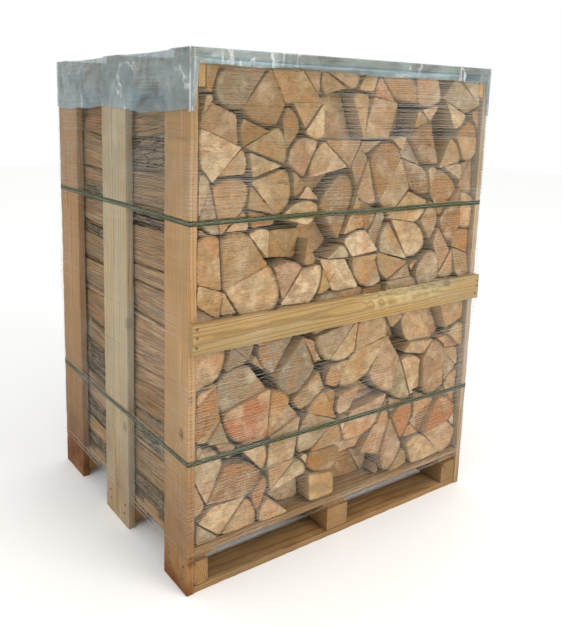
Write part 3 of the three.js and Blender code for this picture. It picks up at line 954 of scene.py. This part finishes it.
# Points round the band's section, as shares of half its width and half its thickness.
STRAP_SECTION = [(-1, 0.12), (-0.94, 1), (0, 1), (0.94, 1), (1, 0.12), (0.94, -0.5), (0, -0.5),
                 (-0.94, -0.5)]
STRAP_TILTS = {"strap_lower": 0.010, "strap_upper": 0.006}

strap_band, tree = new_material("embossed polyester strapping")
place = attribute(tree, "along_band", "Vector")
# The embossing is a lattice of diamonds 3 mm long; drawn 5 mm long so that it shows.
diagonals = []
for slope in (1.0, -1.0):
    lean = vector_calc("DOT_PRODUCT", place, (200.0, slope * 200.0, 0.0))
    wave = calc("SINE", calc("MULTIPLY", lean, math.pi))
    diagonals.append(calc("ABSOLUTE", wave))
lattice = calc("MINIMUM", *diagonals)
scuff = noise(place, 60, 4)
# Painted shade: the band is painted darker along the lattice's grooves, where the bump is lowest.
band_tone_with_groove_shade = mix(lattice, "1C2205", "3A420C")
surface(tree, {"Base Color": tinted(band_tone_with_groove_shade, "4C5424", scuff["Fac"], 0.5, 0.8, 0.5),
               "Normal": bump(lattice, 0.5, 0.0004), "Roughness": 0.45, "Specular IOR Level": 0.2})


def loop_route(half_x, half_y, radius, step):
    """Points and outward directions round a rectangle with rounded corners, from +X."""
    points, outs = [], []
    corners = [Vector(c) for c in ((half_x, 0.0), (half_x, half_y), (-half_x, half_y),
                                   (-half_x, -half_y), (half_x, -half_y), (half_x, 0.0))]
    for number, (start, end) in enumerate(zip(corners, corners[1:])):
        way = (end - start).normalized()
        out = Vector((way.y, -way.x))
        start = start if number == 0 else start + way * radius
        end = end if number == 4 else end - way * radius
        steps = round((end - start).length / step)
        for i in range(steps + 1):
            points.append(start.lerp(end, i / steps))
            outs.append(out)
        if number < 4:
            centre = end - out * radius
            for i in range(1, BEND_STEPS):
                angle = math.pi / 2 * i / BEND_STEPS
                turned = out * math.cos(angle) + way * math.sin(angle)
                points.append(centre + turned * radius)
                outs.append(turned)
    return points, outs


def strap(cad_node):
    """One band round the crate, its last few steps lying over its first."""
    low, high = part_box(cad_node)
    half_z, middle = (high[2] - low[2]) / 2, (high[2] + low[2]) / 2
    route, outs = loop_route(high[0] - STRAP_INSET, high[1] - STRAP_INSET, BEND_RADIUS, STRAP_STEP)
    lap = round(WELD_LAP / STRAP_STEP)
    route += [p.copy() for p in route[1:lap + 1]]
    outs += outs[1:lap + 1]
    points, along, run = [], [], 0.0
    for i, (spot, out) in enumerate(zip(route, outs)):
        run += (spot - route[i - 1]).length if i else 0
        lift = LAP_LIFT * min(1.0, max(0.0, (i - (len(route) - lap - 2)) / 2))
        bend = 0.0006 * math.sin(run * 9.0) + 0.0004 * math.sin(run * 23.0)
        level = middle - STRAP_TILTS[cad_node] * spot.x / high[0] + bend
        for side, depth in STRAP_SECTION:
            here = spot + out * (lift + depth * STRAP_THICK / 2)
            points.append((here.x, here.y, level + side * half_z))
            along.append((run, side * half_z, 0.0))
    count = len(STRAP_SECTION)
    faces = tube(len(route), count) + [tuple(reversed(range(count))),
                                       tuple(range(len(points) - count, len(points)))]
    piece = new_piece(cad_node + "_band", points, faces, [strap_band], [cad_node],
                      sharp_from=35)
    add_attribute(piece.data, "along_band", along)


for cad_node in STRAP_TILTS:
    strap(cad_node)

# ---- Pallet net ------------------------------------------------------------------------
# Knitted polyethylene net off a roll, wound round the crate in many turns. Its straight
# threads run round the crate and thinner threads zigzag between them. A real thread is
# 0.3 mm; these are a little over 0.5 mm, and further apart, so that they show.

(net_x, net_y, NET_BOTTOM), (_, _, NET_TOP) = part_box("pallet_net")
NET_HALF_X = -net_x - 0.0008
NET_HALF_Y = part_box("film_hood")[1][1] - 0.0020
(_, _, RAIL_LOW), (_, _, RAIL_HIGH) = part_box("mid_rail_front")
NET_PITCH, TOP_PITCH = 0.0076, 0.0072  # between neighbouring straight threads
TOP_BAND = 1.12                  # height where the second, denser band starts

net_thread, tree = new_material("knitted polyethylene thread")
place = node(tree, "ShaderNodeTexCoord")["Object"]
# Painted highlights: the threads are painted lighter in noise patches, and more so towards the right
# where the front lamp is, as if catching the light.
patch = noise(place, 3.2, 5, 0.7)
painted_light_to_right = remap(axes_of(place)["X"], -0.1, 0.5, 0.0, 0.06)
towards_light = calc("ADD", patch["Fac"], painted_light_to_right)
surface(tree, {"Base Color": tinted("B0A88E", "EAEBE6", towards_light, 0.42, 0.64),
               "Roughness": 0.35, "Alpha": 0.57})

net_sizes = {"Width": 2 * NET_HALF_X, "Depth": 2 * NET_HALF_Y, "Bottom": NET_BOTTOM + 0.002,
             "Pitch": NET_PITCH, "Turns": 10, "Cuts": 34, "Zigzag": 0.0, "Thread radius": 0.0005,
             "Rail middle": (RAIL_LOW + RAIL_HIGH) / 2, "Rail half height": (RAIL_HIGH - RAIL_LOW) / 2,
             "Rail reach": -net_y - 0.0010 - NET_HALF_Y, "Tent": 0.12, "Drift": 0.022,
             "Uneven step": 0.0030, "Finest thread": 0.45, "Thread": net_thread}
tree, sizes_in = new_tree("wound net", net_sizes)
# Each turn is a rectangle of points. In a zigzag every other one stands a pitch higher.
rectangle = node(tree, "GeometryNodeCurvePrimitiveQuadrilateral",
                 {"Width": sizes_in["Width"], "Height": sizes_in["Depth"]})[0]
turn_curve = node(tree, "GeometryNodeSubdivideCurve", {"Curve": rectangle, "Cuts": sizes_in["Cuts"]})[0]
odd = calc("MODULO", node(tree, "GeometryNodeInputIndex")[0], 2.0)
zig_rise = node(tree, "ShaderNodeCombineXYZ", {"Z": calc("MULTIPLY", odd, sizes_in["Zigzag"])})[0]
zigged = node(tree, "GeometryNodeSetPosition", {"Geometry": turn_curve, "Offset": zig_rise})[0]
first_place = node(tree, "ShaderNodeCombineXYZ", {"Z": sizes_in["Bottom"]})[0]
pitch_up = node(tree, "ShaderNodeCombineXYZ", {"Z": sizes_in["Pitch"]})[0]
ladder = node(tree, "GeometryNodeMeshLine",
              {"Count": sizes_in["Turns"], "Start Location": first_place, "Offset": pitch_up})[0]
stacked = node(tree, "GeometryNodeInstanceOnPoints", {"Points": ladder, "Instance": zigged})[0]
all_turns = node(tree, "GeometryNodeRealizeInstances", {"Geometry": stacked})[0]
# The turns tent out over the mid rails.
where = node(tree, "GeometryNodeInputPosition")[0]
axes = axes_of(where)
off_rail = calc("ABSOLUTE", calc("SUBTRACT", axes["Z"], sizes_in["Rail middle"]))
past_rail = calc("SUBTRACT", off_rail, sizes_in["Rail half height"])
still_out = calc("SUBTRACT", 1.0, calc("DIVIDE", past_rail, sizes_in["Tent"], clamp=True))
reach = calc("MULTIPLY", still_out, sizes_in["Rail reach"])
y_share = calc("DIVIDE", axes["Y"], calc("MULTIPLY", sizes_in["Depth"], 0.5))
push = calc("MULTIPLY", y_share, reach)
# They lie unevenly, and some threads are drawn out finer than others.
centred = calc("SUBTRACT", noise(where, 2.2, 3)["Fac"], 0.5)
drift = calc("MULTIPLY", centred, sizes_in["Drift"])
turn_number = node(tree, "GeometryNodeCurveOfPoint")[0]
step_low = calc("MULTIPLY", sizes_in["Uneven step"], -1.0)
step_off = node(tree, "FunctionNodeRandomValue",
                {2: step_low, 3: sizes_in["Uneven step"], "ID": turn_number, "Seed": 4},
                data_type="FLOAT")[1]
moves = node(tree, "ShaderNodeCombineXYZ", {"Y": push, "Z": calc("ADD", drift, step_off)})[0]
settled = node(tree, "GeometryNodeSetPosition", {"Geometry": all_turns, "Offset": moves})[0]
thread_round = node(tree, "GeometryNodeCurvePrimitiveCircle",
                    {"Resolution": 3, "Radius": sizes_in["Thread radius"]})[0]
pulled = node(tree, "FunctionNodeRandomValue",
              {2: sizes_in["Finest thread"], 3: 1.0, "ID": turn_number, "Seed": 9}, data_type="FLOAT")[1]
threads = node(tree, "GeometryNodeCurveToMesh",
               {"Curve": settled, "Profile Curve": thread_round, "Scale": pulled})[0]
finished = node(tree, "GeometryNodeSetMaterial", {"Geometry": threads, "Material": sizes_in["Thread"]})[0]
node(tree, "NodeGroupOutput", {"Geometry": finished})

net_turns = int((NET_TOP - NET_BOTTOM) / NET_PITCH)
layers = {
    "net_straight_threads": {"Turns": net_turns},
    "net_zigzag_threads": {"Turns": net_turns - 1, "Cuts": 39, "Zigzag": NET_PITCH,
                           "Thread radius": 0.00032},
    "net_top_turns": {"Turns": 57, "Bottom": TOP_BAND, "Cuts": 30, "Pitch": TOP_PITCH},
    "net_top_zigzag": {"Turns": 56, "Bottom": TOP_BAND + 0.002, "Cuts": 59, "Pitch": TOP_PITCH,
                       "Zigzag": TOP_PITCH, "Thread radius": 0.00034},
}
for name, changes in layers.items():
    add_piece(name, grow(name, tree, {**net_sizes, **changes}), ["pallet_net"])

# ---- Film hood -------------------------------------------------------------------------
# A sheet of clear low-density polyethylene film, laid over the top boards and pulled
# down, its side skirts held by the net's last turns. It sags between the boards,
# creases towards the corners and has a bluish cast where it lies double. That tint is
# painted lighter and darker in broad clouds as painted reflections, and thin crease lines
# and the corners are painted near white as painted glints.

hood_low, hood_high = (np.array(c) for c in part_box("film_hood"))
HOOD_CELLS = (84, 68)
SKIRT_ROWS = 16
FILM_THICK = 0.00025
SAG = 0.015
FLAP_LEFT, FLAP_RIGHT = 0.038, 0.052
CORNER_RETURN = 0.016            # how far the side skirts come round onto the front
HOOD_INSET = 0.0004              # of the top's rim, inside the CAD box
CREASE_FADE = 0.03               # creases die away this near the rim and the corners
TOP_CREASES = (26, (0.10, 0.34), 0.0042)  # how many, their spacings and height
SKIRT_CREASES = (22, (0.05, 0.2), 0.0045, 0.5)  # the same, and how far they lean

hood_film, tree = new_material("clear low-density polyethylene film")
place = node(tree, "ShaderNodeTexCoord")["Object"]
crumple = noise(place, 22, 6, 0.6)
# Painted reflections: the film's bluish tint is painted lighter and darker in broad clouds.
wide = noise(place, 7.5, 6, 0.68, 0.8)
tint_with_painted_reflections = tinted("45626C", "A2C2C8", wide["Fac"], 0.35, 0.7)
# Painted highlights: the film is painted near white along thin crease lines and near its corners, where
# glints would be; real stretched film also turns milky there.
whitening_and_glint_share = remap(noise(place, 7, 2)["Fac"], 0.45, 0.62)
pull = noise(scaled(place, (1.0, 0.5, 0.3)), 12, 4, 0.5, 0.6)
crease_glints = calc("MULTIPLY", whitening_and_glint_share, thin_lines(pull["Fac"], 0.012, 0.002))
corner_glint = remap(attribute(tree, "corner", "Fac"), 0.72, 0.9)
patchy = remap(crumple["Fac"], 0.36, 0.5)
milky_and_glinting = calc("MAXIMUM", crease_glints, calc("MULTIPLY", corner_glint, patchy))
surface(tree, {"Base Color": mix(milky_and_glinting, tint_with_painted_reflections, "F4FAFC"), "Roughness": 0.10, "Alpha": 0.33,
               "Normal": bump(crumple["Fac"], 0.8, 0.006), "IOR": 1.51, "Specular IOR Level": 0.9})


def crease_field(rng, u, v, count, wavelength, height, lean=math.pi):
    """Sharp crests with flat valleys, as stretched film folds: 0 at rest, up to height."""
    total = np.zeros_like(u)
    for _ in range(count):
        angle = rng.uniform(-lean, lean)
        rate = 1 / rng.uniform(*wavelength)
        phase = (u * math.cos(angle) + v * math.sin(angle)) * rate + rng.random()
        crest = (1 - np.abs(np.sin(math.pi * phase))) ** 5
        wave = u * rng.uniform(0.5, 2) + v * rng.uniform(0.5, 2) + rng.random()
        patch = np.maximum(0, np.sin(2 * math.pi * wave))
        total = np.maximum(total, crest * patch * rng.uniform(0.5, 1.0))
    return total * height


def ease(value):
    value = np.clip(value, 0, 1)
    return value * value * (3 - 2 * value)


def hood_top(half_x, half_y):
    """The film over the top boards: its points as a grid, and the numbers of the points."""
    xs = np.linspace(-half_x, half_x, HOOD_CELLS[0] + 1)
    ys = np.linspace(-half_y, half_y, HOOD_CELLS[1] + 1)
    x, y = (a.ravel() for a in np.meshgrid(xs, ys, indexing="ij"))
    gap_start, gap_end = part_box("top_board_middle")[1][1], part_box("top_board_back")[0][1]
    between = np.clip((np.abs(y) - gap_start) / (gap_end - gap_start), 0, 1)
    side_room = ease((half_x - np.abs(x)) / 0.16)
    dip = SAG * np.sin(math.pi * between) ** 0.8 * (0.15 + 0.85 * side_room)
    edge = np.minimum(half_x - np.abs(x), half_y - np.abs(y))
    rounding = 0.0035 * (1 - np.clip(edge / 0.014, 0, 1)) ** 2
    creases = crease_field(np.random.default_rng(8), x, y, *TOP_CREASES)
    z = hood_high[2] - 0.0002 - dip - rounding * (dip > 0.0005) + creases * ease(edge / 0.05)
    return np.stack([x, y, z], axis=1), np.arange(len(x)).reshape(len(xs), len(ys))


def hood():
    """The film hood: its top, and a skirt that hangs from it in rows."""
    half_x, half_y = hood_high[0] - HOOD_INSET, hood_high[1] - HOOD_INSET
    top_points, at = hood_top(half_x, half_y)
    faces = [(int(at[i, j]), int(at[i + 1, j]), int(at[i + 1, j + 1]), int(at[i, j + 1]))
             for i in range(HOOD_CELLS[0]) for j in range(HOOD_CELLS[1])]
    rim = [int(n) for n in np.concatenate([at[:-1, 0], at[-1, :-1], at[:0:-1, -1], at[0, :0:-1]])]
    rim_points = top_points[rim]
    rim_x, rim_y = rim_points[:, 0], rim_points[:, 1]
    around = np.cumsum(np.hypot(*np.diff(rim_points[:, :2], axis=0, prepend=rim_points[-1:, :2]).T))
    on_side = np.abs(rim_x) > half_x - 1e-6
    from_corner = half_x - np.abs(rim_x)
    flap = FLAP_LEFT + (FLAP_RIGHT - FLAP_LEFT) * (rim_x / half_x + 1) / 2
    flap = flap + 0.003 * np.sin(around * 11) + 0.0015 * np.sin(around * 29 + 1)
    skirt = hood_high[2] - hood_low[2] - 0.004
    skirt = skirt + 0.005 * np.sin(around * 9 + 2) + 0.003 * np.sin(around * 31)
    drop = np.where(on_side, skirt, skirt + (flap - skirt) * ease((from_corner - CORNER_RETURN) / 0.012))
    out = np.where(on_side[:, None], np.stack([np.sign(rim_x), 0 * around], axis=1),
                   np.stack([0 * around, np.sign(rim_y)], axis=1))
    # The distance along the crate's side from the nearest corner.
    near_corner = np.where(on_side, half_y - np.abs(rim_y), half_x - np.abs(rim_x))
    rows = [top_points]
    above, start = rim, len(top_points)
    for row in range(1, SKIRT_ROWS + 1):
        fallen = drop * row / SKIRT_ROWS
        folds = crease_field(np.random.default_rng(3), around, fallen, *SKIRT_CREASES)
        billow = folds * ease(fallen / CREASE_FADE) + HOOD_INSET
        billow = billow * ease(near_corner / CREASE_FADE)
        ring = rim_points.copy()
        ring[:, :2] += out * billow[:, None]
        ring[:, 2] -= fallen
        rows.append(ring)
        below = range(start, start + len(rim))
        faces += [face[::-1] for face in strip(above, below)]
        above, start = below, start + len(rim)
    points = np.concatenate(rows)
    piece = new_piece("film_hood_sheet", points, faces, [hood_film], ["film_hood"])
    from_edge = np.hypot(half_x - np.minimum(np.abs(points[:, 0]), half_x),
                         half_y - np.minimum(np.abs(points[:, 1]), half_y))
    add_attribute(piece.data, "corner", 1 - np.clip(from_edge / 0.012, 0, 1))
    thickness = piece.modifiers.new("film thickness", "SOLIDIFY")
    thickness.thickness = FILM_THICK
    thickness.offset = -1
    return piece


film = hood()
